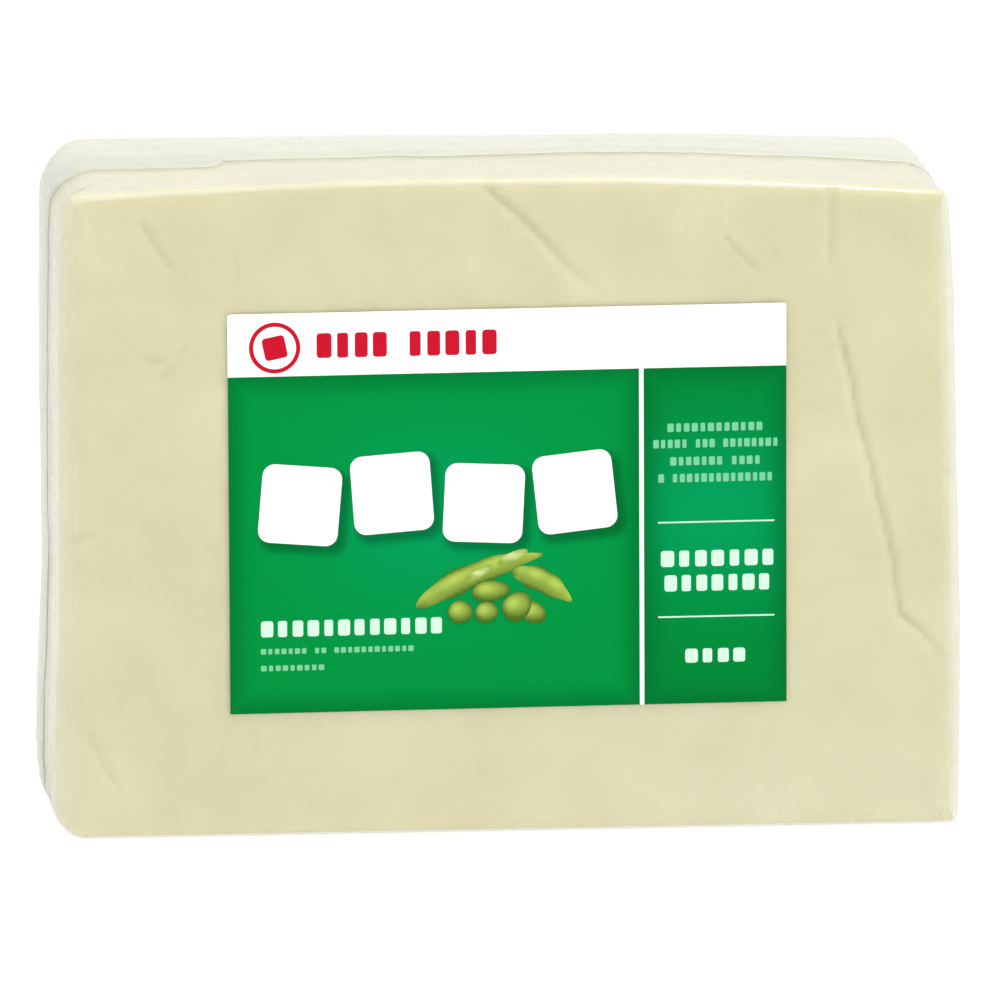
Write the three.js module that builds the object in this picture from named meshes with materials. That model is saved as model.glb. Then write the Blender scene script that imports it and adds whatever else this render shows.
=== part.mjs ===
// A block of tofu sealed in a clear vacuum pouch, with a paper label stuck on its front.
// Millimetres, +Z up. The pack stands on its long narrow side, with the label towards -Y.
// The origin is the middle of its footprint, on the surface that the pack stands on.

import * as THREE from 'three';
import { mergeVertices } from 'three/addons/utils/BufferGeometryUtils.js';

// Driving dimensions.
const WIDTH = 125; // along X, across the block before its ends swell
const DEPTH = 43; // along Y, from the front skin to the back skin
const HEIGHT = 90.8; // along Z, at the ends of the top edge
const TOP_CROWN = 2; // how much higher the front top edge is in the middle of its length
const BACK_CROWN = 0.5; // the same for the back top edge
const EDGE_ROUND = 2; // roll of the front and back edges
const BACK_RISE = 0.7; // how much higher the top is at the back
const TOP_SLOPE = 0.5; // how much lower it is at the right end than in the middle
const LEAN = 1; // how far the top has slid sideways over the base, towards -X
const TAPER = 0.8; // how much each end draws in at the top
const END_SWELL = { reach: 1.2, power: 0.6 }; // how far the ends swell out half way up
const SLUMP = { left: 1.5, right: 0.5, level: 0.45 }; // how far the soft block has spread at its base

// Roundness of the four upright corners of the outline, seen from the front.
const CORNER_ROUND = { topLeft: 6, topRight: 6, bottomLeft: 5.5, bottomRight: 2 };

// The label, a thin printed rectangle that lies slightly turned on the front.
const LABEL = { width: 78.4, height: 56.9, thick: 0.25, gap: 0.3, round: 0.4 };
const LABEL_CENTRE = { x: -0.55, z: 46.45 };
const LABEL_TURN = 0.35; // degrees
const LABEL_MARGIN = 3; // flat rim left on the front all round the label

// The heat-sealed rim of the pouch, folded back flat over the rear half of the sides.
const RIM = { start: 1.5, step: 0.9, slope: 1.4 };

// Small ears of film pinched out where the rim turns a corner of the block.
const EARS = [
  { side: -1, level: 1, reach: 1.6 },
  { side: 1, level: 1, reach: 1 },
  { side: -1, level: 0, reach: 0.8 },
  { side: 1, level: 0, reach: 1 },
];
const EAR_SIZE = { along: 7, depth: 5 };

// Dents and folds pressed into the front, each a run of points [x, z].
const CREASES = [
  { depth: 0.8, width: 1.8, run: [[-2.7, 91], [4.3, 84.5], [10, 79.5], [15, 74.5]] },
  { depth: 0.6, width: 1.6, run: [[44.5, 90], [44.3, 84], [44, 79]] },
  { depth: 0.9, width: 1.8, run: [[46.2, 70.3], [50.5, 47.8], [54, 29.8], [62, 20.4]] },
  { depth: 0.6, width: 1.6, run: [[-51.3, 86.8], [-46.2, 79.2]] },
  { depth: 0.5, width: 2, run: [[-64, 43], [-57, 43.2]] },
  { depth: 0.4, width: 1.8, run: [[-57.6, 14.6], [-53.4, 6]] },
];

// Slow unevenness of the soft block: wave lengths along each axis, and its size.
const UNEVEN = { height: 0.3, x: 61, y: 37, z: 47 };
const UNEVEN_PHASE = 1.3;

// Grid of the block's skin: fine near the edges, even between them.
const EDGE_OFFSETS = [0, 0.6, 2, 4];
const FLAT_STEPS = { x: 30, y: 7, z: 21 };
const BASE_BLEND = 6; // height over which the unevenness fades out towards the flat base

const HALF = { x: WIDTH / 2, y: DEPTH / 2, z: HEIGHT / 2 };

function smooth(from, to, value) {
  const t = THREE.MathUtils.clamp((value - from) / (to - from), 0, 1);
  return t * t * (3 - 2 * t);
}

// Grid lines of one axis, from -half to half.
function gridLines(half, flatSteps) {
  const inner = half - EDGE_OFFSETS.at(-1);
  const left = EDGE_OFFSETS.slice(0, -1).map((offset) => offset - half);
  const middle = [];
  for (let i = 0; i <= flatSteps; i += 1) {
    middle.push(-inner + (2 * inner * i) / flatSteps);
  }
  const right = left.map((value) => -value).reverse();
  return [...left, ...middle, ...right];
}

// Turns the square corner of a zone of the given radius into a round one.
function roundCorner(a, b, radius) {
  if (a <= 0 || b <= 0) return [a, b];
  const scale = Math.max(a, b) / Math.hypot(a, b);
  return [a * scale, b * scale];
}

function cornerRadius(x, z) {
  if (z > 0) return x < 0 ? CORNER_ROUND.topLeft : CORNER_ROUND.topRight;
  return x < 0 ? CORNER_ROUND.bottomLeft : CORNER_ROUND.bottomRight;
}

// Rounds the outline seen from the front, and gives the way out of it.
function roundOutline(x, z) {
  const radius = cornerRadius(x, z);
  const a = Math.abs(x) - (HALF.x - radius);
  const b = Math.abs(z) - (HALF.z - radius);
  const [ra, rb] = roundCorner(a, b, radius);
  const out = new THREE.Vector2();
  if (a > 0 && b > 0) out.set(ra * Math.sign(x), rb * Math.sign(z)).normalize();
  else if (HALF.x - Math.abs(x) < HALF.z - Math.abs(z)) out.set(Math.sign(x), 0);
  else out.set(0, Math.sign(z));
  return { x: x + (ra - a) * Math.sign(x), z: z + (rb - b) * Math.sign(z), out };
}

// A point of the rounded block and its outward direction, from a point of the sharp box.
function roundBlock(x, y, z) {
  const outline = roundOutline(x, z);
  const inset = Math.min(HALF.x - Math.abs(x), HALF.z - Math.abs(z));
  const a = EDGE_ROUND - inset;
  const b = EDGE_ROUND - (HALF.y - Math.abs(y));
  const [ra, rb] = roundCorner(a, b, EDGE_ROUND);
  const point = new THREE.Vector3(outline.x, y, outline.z);
  point.x += (ra - a) * outline.out.x;
  point.z += (ra - a) * outline.out.y;
  point.y += (rb - b) * Math.sign(y);
  const sideways = Math.max(ra, 0);
  const depthways = Math.max(rb, 0) * Math.sign(y);
  const normal = new THREE.Vector3(outline.out.x * sideways, depthways, outline.out.y * sideways);
  return { point, normal: normal.normalize() };
}

// 1 away from the label, 0 behind it, where the front stays flat.
function clearOfLabel(point) {
  const dx = Math.abs(point.x - LABEL_CENTRE.x) - LABEL.width / 2;
  const dz = Math.abs(point.z - LABEL_CENTRE.z) - LABEL.height / 2;
  return smooth(LABEL_MARGIN, LABEL_MARGIN + 6, Math.max(dx, dz));
}

function unevenness(point) {
  const across = Math.sin((2 * Math.PI * point.x) / UNEVEN.x + UNEVEN_PHASE);
  const up = Math.cos((2 * Math.PI * point.z) / UNEVEN.z);
  const through = Math.sin((2 * Math.PI * point.y) / UNEVEN.y + UNEVEN_PHASE);
  return UNEVEN.height * (across * up + 0.5 * through);
}

// Distance from a point of the front to the nearest stretch of a crease.
function distanceToRun(x, z, run) {
  const place = new THREE.Vector3(x, 0, z);
  const nearest = new THREE.Vector3();
  let least = Infinity;
  for (let i = 1; i < run.length; i += 1) {
    const [x0, z0] = run[i - 1];
    const [x1, z1] = run[i];
    const stretch = new THREE.Line3(new THREE.Vector3(x0, 0, z0), new THREE.Vector3(x1, 0, z1));
    stretch.closestPointToPoint(place, true, nearest);
    least = Math.min(least, nearest.distanceTo(place));
  }
  return least;
}

function creaseDepth(point) {
  let depth = 0;
  for (const crease of CREASES) {
    const distance = distanceToRun(point.x, point.z, crease.run) / crease.width;
    depth += crease.depth * Math.exp(-distance * distance);
  }
  return depth;
}

// The folded rim stands out of the ends and the top, behind its folded edge.
function rimStep(point, normal) {
  const onSide = smooth(0.3, 0.9, Math.abs(normal.x)) * smooth(1, 8, point.z);
  const onTop = smooth(0.3, 0.9, normal.z);
  return RIM.step * Math.max(onSide, onTop) * smooth(RIM.start, RIM.start + RIM.slope, point.y);
}

function earReach(point, normal) {
  let reach = 0;
  for (const ear of EARS) {
    const along = Math.hypot(point.x - ear.side * HALF.x, point.z - ear.level * HEIGHT);
    const depth = (point.y - RIM.start - EAR_SIZE.depth / 2) / EAR_SIZE.depth;
    const bump = Math.exp(-((along / EAR_SIZE.along) ** 2) - depth * depth);
    reach += ear.reach * bump;
  }
  return reach * Math.hypot(normal.x, normal.z);
}

// Leans, tapers and slumps the block, swells its ends and crowns its top edges.
function settle(point) {
  const level = THREE.MathUtils.clamp(point.z / HEIGHT, 0, 1);
  const end = point.x / HALF.x;
  const depth = (point.y / HALF.y + 1) / 2;
  const crown = THREE.MathUtils.lerp(TOP_CROWN, BACK_CROWN, depth);
  const spread = (point.x < 0 ? SLUMP.left : SLUMP.right) * (1 - smooth(0, SLUMP.level, level));
  const swell = END_SWELL.reach * (4 * level * (1 - level)) ** END_SWELL.power;
  point.x += (spread + swell - TAPER * level) * end ** 3 - LEAN * (level - 0.5);
  point.z += level * (crown * (1 - end * end) + BACK_RISE * depth - TOP_SLOPE * end);
}

// One point of the pouch's skin, from a point of the sharp box.
function skinPoint(x, y, z) {
  const { point, normal } = roundBlock(x, y, z);
  point.z += HALF.z;
  const free = clearOfLabel(point) * smooth(0, BASE_BLEND, point.z);
  const onBase = normal.z < -0.9;
  if (!onBase) {
    const fold = normal.y < -0.5 ? clearOfLabel(point) * creaseDepth(point) : 0;
    const facing = normal.y < -0.5 ? free : smooth(0, BASE_BLEND, point.z);
    const out = facing * (unevenness(point) - UNEVEN.height) - fold;
    point.addScaledVector(normal, out + rimStep(point, normal));
  }
  const reach = onBase ? 0 : earReach(point, normal);
  point.x += Math.sign(normal.x) * reach;
  settle(point);
  point.z = Math.max(point.z, 0);
  return point;
}

function pouchGeometry() {
  const lines = {
    x: gridLines(HALF.x, FLAT_STEPS.x),
    y: gridLines(HALF.y, FLAT_STEPS.y),
    z: gridLines(HALF.z, FLAT_STEPS.z),
  };
  const steps = { x: lines.x.length - 1, y: lines.y.length - 1, z: lines.z.length - 1 };
  const box = new THREE.BoxGeometry(2, 2, 2, steps.x, steps.y, steps.z);
  box.deleteAttribute('normal');
  box.deleteAttribute('uv');
  const skin = mergeVertices(box);
  const place = skin.attributes.position;
  const gridLine = (axis, value) => lines[axis][Math.round(((value + 1) / 2) * steps[axis])];
  for (let i = 0; i < place.count; i += 1) {
    const x = gridLine('x', place.getX(i));
    const y = gridLine('y', place.getY(i));
    const z = gridLine('z', place.getZ(i));
    const point = skinPoint(x, y, z);
    place.setXYZ(i, point.x, point.y, point.z);
  }
  skin.computeVertexNormals();
  return skin;
}

function labelOutline() {
  const w = LABEL.width / 2;
  const h = LABEL.height / 2;
  const r = LABEL.round;
  const outline = new THREE.Shape();
  outline.moveTo(-w + r, -h);
  outline.absarc(w - r, -h + r, r, -Math.PI / 2, 0);
  outline.absarc(w - r, h - r, r, 0, Math.PI / 2);
  outline.absarc(-w + r, h - r, r, Math.PI / 2, Math.PI);
  outline.absarc(-w + r, -h + r, r, Math.PI, 1.5 * Math.PI);
  return outline;
}

function labelGeometry() {
  const options = { depth: LABEL.thick, bevelEnabled: false, curveSegments: 3 };
  return new THREE.ExtrudeGeometry(labelOutline(), options);
}

function filmMaterial() {
  return new THREE.MeshStandardMaterial({ color: 0xe1deb8, roughness: 0.3, metalness: 0 });
}

function printMaterial() {
  return new THREE.MeshStandardMaterial({ color: 0x009849, roughness: 0.4, metalness: 0 });
}

function makePouch() {
  const pouch = new THREE.Mesh(pouchGeometry(), filmMaterial());
  pouch.name = 'pouch';
  return pouch;
}

function makeLabel() {
  const label = new THREE.Mesh(labelGeometry(), printMaterial());
  label.name = 'label';
  label.rotation.set(Math.PI / 2, 0, 0);
  const turn = new THREE.Group();
  turn.add(label);
  turn.rotation.y = -THREE.MathUtils.degToRad(LABEL_TURN);
  turn.position.set(LABEL_CENTRE.x, -HALF.y - LABEL.gap, LABEL_CENTRE.z);
  return turn;
}

// Moves the pack so that the middle of its footprint is at the origin.
function centreOnOrigin(group) {
  const centre = new THREE.Box3().setFromObject(group).getCenter(new THREE.Vector3());
  group.position.x -= centre.x;
  group.position.y -= centre.y;
}

const pack = new THREE.Group();
pack.add(makePouch(), makeLabel());
centreOnOrigin(pack);

export default pack;
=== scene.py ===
"""A block of tofu sealed in a clear vacuum pouch, with a printed label on its front.

Lengths are in millimetres, in the CAD model's frame: +Z up, and the label faces -Y.
make_piece() turns them into metres.
"""

import math

import bmesh
import bpy
import numpy as np
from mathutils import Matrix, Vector


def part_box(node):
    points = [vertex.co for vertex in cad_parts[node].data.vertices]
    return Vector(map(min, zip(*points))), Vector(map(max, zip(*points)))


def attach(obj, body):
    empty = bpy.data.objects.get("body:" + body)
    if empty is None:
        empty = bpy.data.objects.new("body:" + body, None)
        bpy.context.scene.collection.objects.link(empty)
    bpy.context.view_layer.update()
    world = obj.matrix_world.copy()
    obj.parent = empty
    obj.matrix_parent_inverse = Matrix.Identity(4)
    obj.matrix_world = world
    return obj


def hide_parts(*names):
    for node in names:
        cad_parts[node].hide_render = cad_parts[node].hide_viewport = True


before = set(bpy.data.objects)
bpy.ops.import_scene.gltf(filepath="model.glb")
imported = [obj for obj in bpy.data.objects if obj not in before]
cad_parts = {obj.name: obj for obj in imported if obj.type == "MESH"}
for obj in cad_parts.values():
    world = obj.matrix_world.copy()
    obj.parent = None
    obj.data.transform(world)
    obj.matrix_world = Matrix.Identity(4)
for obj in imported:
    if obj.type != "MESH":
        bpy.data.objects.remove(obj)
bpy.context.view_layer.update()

MM = 0.001
ROOT = "root"


def box_in_mm(node):
    low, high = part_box(node)
    return np.array(low) / MM, np.array(high) / MM


# ---------------- sizes

POUCH_LOW, POUCH_HIGH = box_in_mm("pouch")
LABEL_LOW, LABEL_HIGH = box_in_mm("label")

END_MARGIN = 2.47  # from the ends of the pouch's box in to the block's, before they swell
TOP_MARGIN = 1.8  # from the top of that box down to the ends of the block's top edge
HALF = np.array(
    [
        (POUCH_HIGH[0] - POUCH_LOW[0]) / 2 - END_MARGIN,
        (POUCH_HIGH[1] - POUCH_LOW[1]) / 2,
        (POUCH_HIGH[2] - TOP_MARGIN) / 2,
    ]
)
HEIGHT = 2 * HALF[2]
MIDDLE_Y = (POUCH_HIGH[1] + POUCH_LOW[1]) / 2

EDGE_ROUND = 1.9  # roll of the front and back edges
# Their upright stretches are rolled wider: the roll at the base and at the top, and how far in
# from the end it is still full and where nothing is left of it.
LEFT_ROUND = {"base": 5.5, "top": 4.0, "full": 7, "none": 14}
RIGHT_ROUND = {"base": 3.2, "top": 3.4, "full": 4, "none": 9}
CORNER_ROUND = {"top_left": 6, "top_right": 4.6, "bottom_left": 4, "bottom_right": 1.3}
FRONT_CORNER = 0.35  # the top corners are this share as round at the front
CORNER_DEPTH = 9  # and as round as they get this far behind it
LEAN = 1.0  # how far the top has slid sideways over the base, towards -X
TAPER = 0.3  # how much each end draws in at the top
END_SWELL = {"reach": 1.2, "power": 0.6}  # how far the ends swell out half way up, how bluntly
SLUMP = {"left": 1.8, "right": 0.5, "level": 0.45}  # how far its base has spread, up to a level
FRONT_CROWN = 2.3  # how much higher the front top edge is in the middle of its length
BACK_CROWN = 0.5  # and the back one
BACK_RISE = 0.9  # how much higher the top is at the back
TOP_SLOPE = 0.5  # how much lower it is at the right end than in the middle
BASE_BLEND = 7.0  # height over which unevenness fades out towards the flat base

FILM_GAP = 0.22  # the film lies this far off the tofu
SEAM_Y = -1.0  # the pouch's two skins are sealed together here, at mid depth
TOFU_SPACING = (0.6, 1.4, 0.6)  # between the points of the tofu's mesh, along x, y and z
FILM_SPACING = (0.7, 0.8, 0.7)  # and between those of the film's

LABEL_TURN = math.radians(0.35)
LABEL_THICK = 0.12
LABEL_LIFT = 0.12  # the label's back lies this far off the film's mean plane

# Dents and folds in the front: depth, half width, then points (x, z) from end to end.
CREASES = [
    (0.55, 0.55, [(-3.6, 90.6), (4.0, 83.4), (9.8, 78.0), (15.2, 72.6)]),
    (0.40, 0.45, [(45.5, 91.0), (45.4, 84.0), (44.9, 78.5)]),
    (0.60, 0.50, [(45.6, 72.5), (48.6, 59.2), (50.9, 47.8), (53.0, 37.7), (53.8, 30.5),
                  (57.2, 27.8), (59.8, 24.4), (62.8, 19.4)]),
    (0.35, 0.50, [(-51.6, 87.4), (-48.8, 82.8), (-46.0, 78.8)]),
    (0.25, 0.45, [(-38.1, 81.4), (-37.5, 76.6)]),
    (0.35, 0.45, [(30.2, 83.6), (32.6, 81.2), (36.0, 77.6)]),
    (0.40, 0.55, [(-66.0, 43.6), (-60.5, 42.9), (-57.0, 43.6)]),
    (0.35, 0.60, [(-58.2, 15.6), (-55.8, 10.6), (-53.0, 5.2)]),
    (0.30, 0.50, [(-50.6, 67.9), (-47.2, 67.2)]),
    (0.22, 0.45, [(-44.0, 70.2), (-46.4, 66.4), (-50.0, 63.0)]),
    (0.22, 0.45, [(41.5, 66.8), (46.5, 68.2)]),
]

# The same for the back.
BACK_CREASES = [
    (0.70, 0.9, [(-58.0, 70.0), (-44.0, 62.0), (-33.0, 58.5), (-24.0, 49.0)]),
    (0.55, 0.8, [(22.0, 91.0), (27.5, 79.0), (26.0, 66.0)]),
    (0.50, 0.7, [(40.0, 30.0), (48.0, 22.0), (60.0, 18.0)]),
    (0.40, 0.8, [(-30.0, 18.0), (-18.0, 12.0), (-6.0, 12.5)]),
    (0.35, 0.7, [(2.0, 52.0), (6.0, 43.0), (4.5, 35.0)]),
]


# ---------------- small functions

TINY = 1e-9  # keeps a division by zero away


def smooth(start, end, value):
    """0 before the start, 1 past the end, and an even curve between."""
    t = np.clip((value - start) / (end - start), 0, 1)
    return t * t * (3 - 2 * t)


def bump(value, centre, width):
    return np.exp(-(((value - centre) / width) ** 2))


def unit(vectors):
    return vectors / np.maximum(np.linalg.norm(vectors, axis=1, keepdims=True), TINY)


def turned(u, v, angle):
    """A flat place turned counter-clockwise about the middle."""
    c, s = math.cos(angle), math.sin(angle)
    return c * u - s * v, s * u + c * v


def linear(red, green, blue):
    """A screen colour, each part 0 to 255, as linear light."""
    share = np.array([red, green, blue]) / 255
    return np.where(share <= 0.04045, share / 12.92, ((share + 0.055) / 1.055) ** 2.4)


def noise(points, size, seed):
    """Smooth noise from -1 to 1 with features about `size` across, the same on every run."""
    cells = 32
    lattice = np.random.default_rng(seed).uniform(-1, 1, (cells, cells, cells))
    place = np.asarray(points, float) / size + 97.3
    whole = np.floor(place).astype(int)
    part = place - whole
    part = part * part * (3 - 2 * part)
    total = np.zeros(len(place))
    for corner in np.ndindex(2, 2, 2):
        index = (whole + corner) % cells
        weight = np.prod(np.where(corner, part, 1 - part), axis=1)
        total += weight * lattice[index[:, 0], index[:, 1], index[:, 2]]
    return total


def run_distance(place, run, wander):
    """Distance from each 2-D place to a wavy run of points, and the share of the run passed."""
    flat = np.column_stack([place, np.zeros(len(place))])
    shift = np.column_stack([noise(flat, 5.0, 11), noise(flat, 5.0, 12)])
    moved = place + wander * shift
    run = np.asarray(run, float)
    lengths = np.linalg.norm(np.diff(run, axis=0), axis=1)
    travelled = np.concatenate([[0], np.cumsum(lengths)])
    least = np.full(len(place), np.inf)
    along = np.zeros(len(place))
    for start, end, length, before in zip(run[:-1], run[1:], lengths, travelled):
        step = (end - start) / length
        t = np.clip((moved - start) @ step, 0, length)
        distance = np.linalg.norm(moved - start - t[:, None] * step, axis=1)
        nearer = distance < least
        least = np.where(nearer, distance, least)
        along = np.where(nearer, (before + t) / travelled[-1], along)
    return least, along


# ---------------- the block's skin


def grid_lines(half, spacing):
    """Grid lines from -half to half, packed closer where the edges are rounded."""
    near_edge = np.array([0, 0.25, 0.55, 0.9, 1.3, 1.8, 2.4, 3.1])
    inner = half - near_edge[-1]
    steps = max(2, round(2 * inner / spacing))
    middle = np.linspace(-inner, inner, steps + 1)
    return np.concatenate([near_edge[:-1] - half, middle, half - near_edge[:-1][::-1]])


def grid_quads(index):
    """The four-cornered faces of a sheet, from its points' numbers by row and column."""
    corners = [index[:-1, :-1], index[1:, :-1], index[1:, 1:], index[:-1, 1:]]
    return np.stack(corners, axis=-1).reshape(-1, 4)


def box_skin(spacings):
    """The points and square faces of the sharp box's whole skin, each corner shared."""
    lines = [grid_lines(half, spacing) for half, spacing in zip(HALF, spacings)]
    counts = [len(line) for line in lines]
    index = np.full(counts, -1)
    on_skin = np.zeros(counts, bool)
    for axis in range(3):
        np.moveaxis(on_skin, axis, 0)[[0, -1]] = True
    index[on_skin] = np.arange(on_skin.sum())
    where = np.argwhere(on_skin)
    points = np.column_stack([lines[axis][where[:, axis]] for axis in range(3)])
    faces = []
    for axis in range(3):
        for end in (0, -1):
            quads = grid_quads(index.take(end, axis))
            inside_out = (end == -1) == (axis == 1)
            faces.append(quads[:, ::-1] if inside_out else quads)
    return points, np.concatenate(faces)


def round_corner(a, b):
    """Turns the square corner of a zone into a round one, for distances a and b into the zone."""
    both = (a > 0) & (b > 0)
    scale = np.where(both, np.maximum(a, b) / np.maximum(np.hypot(a, b), TINY), 1.0)
    return a * scale, b * scale


def corner_round(x, y, z):
    """The outline's corner radius: the top corners are tighter at the front."""
    back = smooth(-HALF[1], -HALF[1] + CORNER_DEPTH, y)
    tighter = FRONT_CORNER + (1 - FRONT_CORNER) * back
    top = tighter * np.where(x < 0, CORNER_ROUND["top_left"], CORNER_ROUND["top_right"])
    bottom = np.where(x < 0, CORNER_ROUND["bottom_left"], CORNER_ROUND["bottom_right"])
    return np.where(z > 0, top, bottom)


def edge_round(x, z):
    """How widely the front and back edges are rolled."""
    level = z / HEIGHT + 0.5
    upright = smooth(-4, 3, np.abs(x) - HALF[0] - np.abs(z) + HALF[2])
    roll = EDGE_ROUND
    for side, end in ((-1, LEFT_ROUND), (1, RIGHT_ROUND)):
        wider = end["base"] + (end["top"] - end["base"]) * level
        near = upright * smooth(end["none"], end["full"], HALF[0] - side * x)
        roll = roll + (wider - EDGE_ROUND) * near
    return roll


def round_block(sharp):
    """Points of the rounded block, standing on z = 0, and their outward directions."""
    x, y, z = sharp.T
    radius = corner_round(x, y, z)
    a = np.abs(x) - (HALF[0] - radius)
    b = np.abs(z) - (HALF[2] - radius)
    ra, rb = round_corner(a, b)
    in_corner = (a > 0) & (b > 0)
    length = np.maximum(np.hypot(ra, rb), TINY)
    near_end = HALF[0] - np.abs(x) < HALF[2] - np.abs(z)
    out_x = np.where(in_corner, ra / length, near_end.astype(float)) * np.sign(x)
    out_z = np.where(in_corner, rb / length, (~near_end).astype(float)) * np.sign(z)
    inset = np.minimum(HALF[0] - np.abs(x), HALF[2] - np.abs(z))
    roll = edge_round(x, z)
    c = roll - inset
    d = roll - (HALF[1] - np.abs(y))
    rc, rd = round_corner(c, d)
    points = np.column_stack(
        [
            x + (ra - a) * np.sign(x) + (rc - c) * out_x,
            y + (rd - d) * np.sign(y),
            z + (rb - b) * np.sign(z) + (rc - c) * out_z + HALF[2],
        ]
    )
    sideways = np.maximum(rc, 0)
    depthways = np.maximum(rd, 0) * np.sign(y)
    return points, unit(np.column_stack([out_x * sideways, depthways, out_z * sideways]))


def settle(points):
    """Leans, tapers and slumps the block, crowns its top and moves it to the CAD model's place."""
    x, y, z = points.T
    level = np.clip(z / HEIGHT, 0, 1)
    end = x / HALF[0]
    depth = (y / HALF[1] + 1) / 2
    crown = FRONT_CROWN + (BACK_CROWN - FRONT_CROWN) * depth
    slump = np.where(x < 0, SLUMP["left"], SLUMP["right"]) * smooth(SLUMP["level"], 0, level)
    swell = END_SWELL["reach"] * (4 * level * (1 - level)) ** END_SWELL["power"]
    rise = crown * (1 - end * end) + BACK_RISE * depth - TOP_SLOPE * end
    return np.column_stack(
        [
            x + (slump + swell - TAPER * level) * end**3 - LEAN * (level - 0.5),
            y + MIDDLE_Y,
            np.maximum(z + level * rise, 0),
        ]
    )


def label_size():
    """The label's own width and height, from the box of the turned label."""
    wide, _, high = LABEL_HIGH - LABEL_LOW
    c, s = math.cos(LABEL_TURN), math.sin(LABEL_TURN)
    return (wide * c - high * s) / (c * c - s * s), (high * c - wide * s) / (c * c - s * s)


LABEL_CENTRE = (LABEL_LOW + LABEL_HIGH) / 2
LABEL_WIDE, LABEL_TALL = label_size()


def clear_of_label(points):
    """1 away from the label, 0 behind it."""
    dx = np.abs(points[:, 0] - LABEL_CENTRE[0]) - LABEL_WIDE / 2
    dz = np.abs(points[:, 2] - LABEL_CENTRE[2]) - LABEL_TALL / 2
    return smooth(-1, 8, np.maximum(dx, dz))


def slow_swell(points):
    """Slow unevenness of the soft block, fading out towards its flat base."""
    wide = 0.34 * noise(points, 34, 1) + 0.10 * noise(points, 13, 2) - 0.2
    return wide * smooth(0, BASE_BLEND, points[:, 2])


def label_swell(points):
    """The part of the swelling that the flat label follows."""
    return 0.5 * slow_swell(points)


def crease_depth(points, creases, seed_shift, widen):
    """How deep the creases are at each point; `widen` makes them that much wider and shallower."""
    place = points[:, [0, 2]]
    depth = np.zeros(len(points))
    for deep, half_wide, run in creases:
        distance, along = run_distance(place + seed_shift, np.array(run) + seed_shift, 0.5)
        fade = smooth(0, 0.06, along) * smooth(1, 0.75, along)
        wide = half_wide * widen
        groove = bump(distance, 0, wide)
        lip = 0.2 * bump(distance, 2.4 * wide, 1.3 * wide)
        depth += deep / widen * fade * (groove - lip)
    return depth


def facing(normals, way):
    """1 where the skin faces the front (way -1) or the back (way 1), fading to 0 as it turns."""
    return smooth(0.35, 0.9, way * normals[:, 1])


def dents(points, normals, widen=1.0):
    """How far the creases press the skin in, on the front and on the back."""
    front = facing(normals, -1) * crease_depth(points, CREASES, 0.0, widen)
    back = facing(normals, 1) * crease_depth(points, BACK_CREASES, 40.0, widen)
    return front * (0.35 + 0.65 * clear_of_label(points)) + back


def skin_height(points, normals):
    """How far out of the rounded block its real skin lies, without the creases."""
    front = facing(normals, -1)
    swell = slow_swell(points) + 0.09 * noise(points, 6.5, 3) * smooth(0, 3, points[:, 2])
    flat = label_swell(points)
    behind = front * (1 - clear_of_label(points))
    return swell * (1 - behind) + flat * behind


# ---------------- making pieces


def make_piece(name, points, faces, material, smooth_shading=True):
    mesh = bpy.data.meshes.new(name)
    mesh.from_pydata((np.asarray(points) * MM).tolist(), [], [list(map(int, f)) for f in faces])
    mesh.polygons.foreach_set("use_smooth", [smooth_shading] * len(mesh.polygons))
    mesh.materials.append(material)
    mesh.update()
    piece = bpy.data.objects.new(name, mesh)
    bpy.context.scene.collection.objects.link(piece)
    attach(piece, ROOT)
    return piece


def add_values(piece, name, values):
    """Keeps a number for each point of the mesh, for its material to read."""
    attribute = piece.data.attributes.new(name, "FLOAT", "POINT")
    attribute.data.foreach_set("value", np.asarray(values, np.float32))


def slab(points, faces, back_points):
    """A closed plate from an open sheet and the same sheet moved back."""
    count = len(points)
    faces = [tuple(face) for face in faces]
    seen = {}
    for face in faces:
        for a, b in zip(face, face[1:] + face[:1]):
            seen[(a, b)] = True
    walls = [(b, a, a + count, b + count) for a, b in seen if (b, a) not in seen]
    backs = [tuple(i + count for i in reversed(face)) for face in faces]
    return np.concatenate([points, back_points]), faces + backs + walls


# ---------------- materials

TOFU_SHADES = [linear(206, 201, 160), linear(211, 206, 166), linear(216, 211, 173)]
FILM_WHITE = linear(250, 251, 243)
LEAST_MIRROR = 0.05  # how much the film mirrors head on
FILM_MIRROR = 0.7  # and at a glancing angle
RIM_MIRROR = 0.4
RIB_PHASE = 110  # radians of the ribs' wave, over the whole width of the rim


def new_material(name):
    """A material, and its tree of nodes, still empty."""
    material = bpy.data.materials.new(name)
    material.use_nodes = True
    material.node_tree.nodes.clear()
    return material, material.node_tree


def add_node(tree, kind, inputs):
    """A new node, with each of these inputs linked to a socket or set to a value."""
    node = tree.nodes.new("ShaderNode" + kind)
    for name, value in inputs.items():
        if isinstance(value, bpy.types.NodeSocket):
            tree.links.new(value, node.inputs[name])
        else:
            node.inputs[name].default_value = value
    return node


def object_place(tree):
    return add_node(tree, "TexCoord", {}).outputs["Object"]


def kept_value(tree, name, output):
    """What add_values or the label's print keeps on the mesh under this name."""
    node = add_node(tree, "Attribute", {})
    node.attribute_name = name
    return node.outputs[output]


def noise_node(tree, coords, scale, detail, roughness):
    inputs = {"Vector": coords, "Scale": scale, "Detail": detail, "Roughness": roughness}
    return add_node(tree, "TexNoise", inputs).outputs["Fac"]


def ramp_node(tree, value, places, colours):
    node = add_node(tree, "ValToRGB", {"Fac": value})
    ramp = node.color_ramp
    while len(ramp.elements) < len(places):
        ramp.elements.new(0.5)
    for element, place, colour in zip(ramp.elements, places, colours):
        element.position = place
        element.color = (*colour, 1)
    return node.outputs["Color"]


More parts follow.
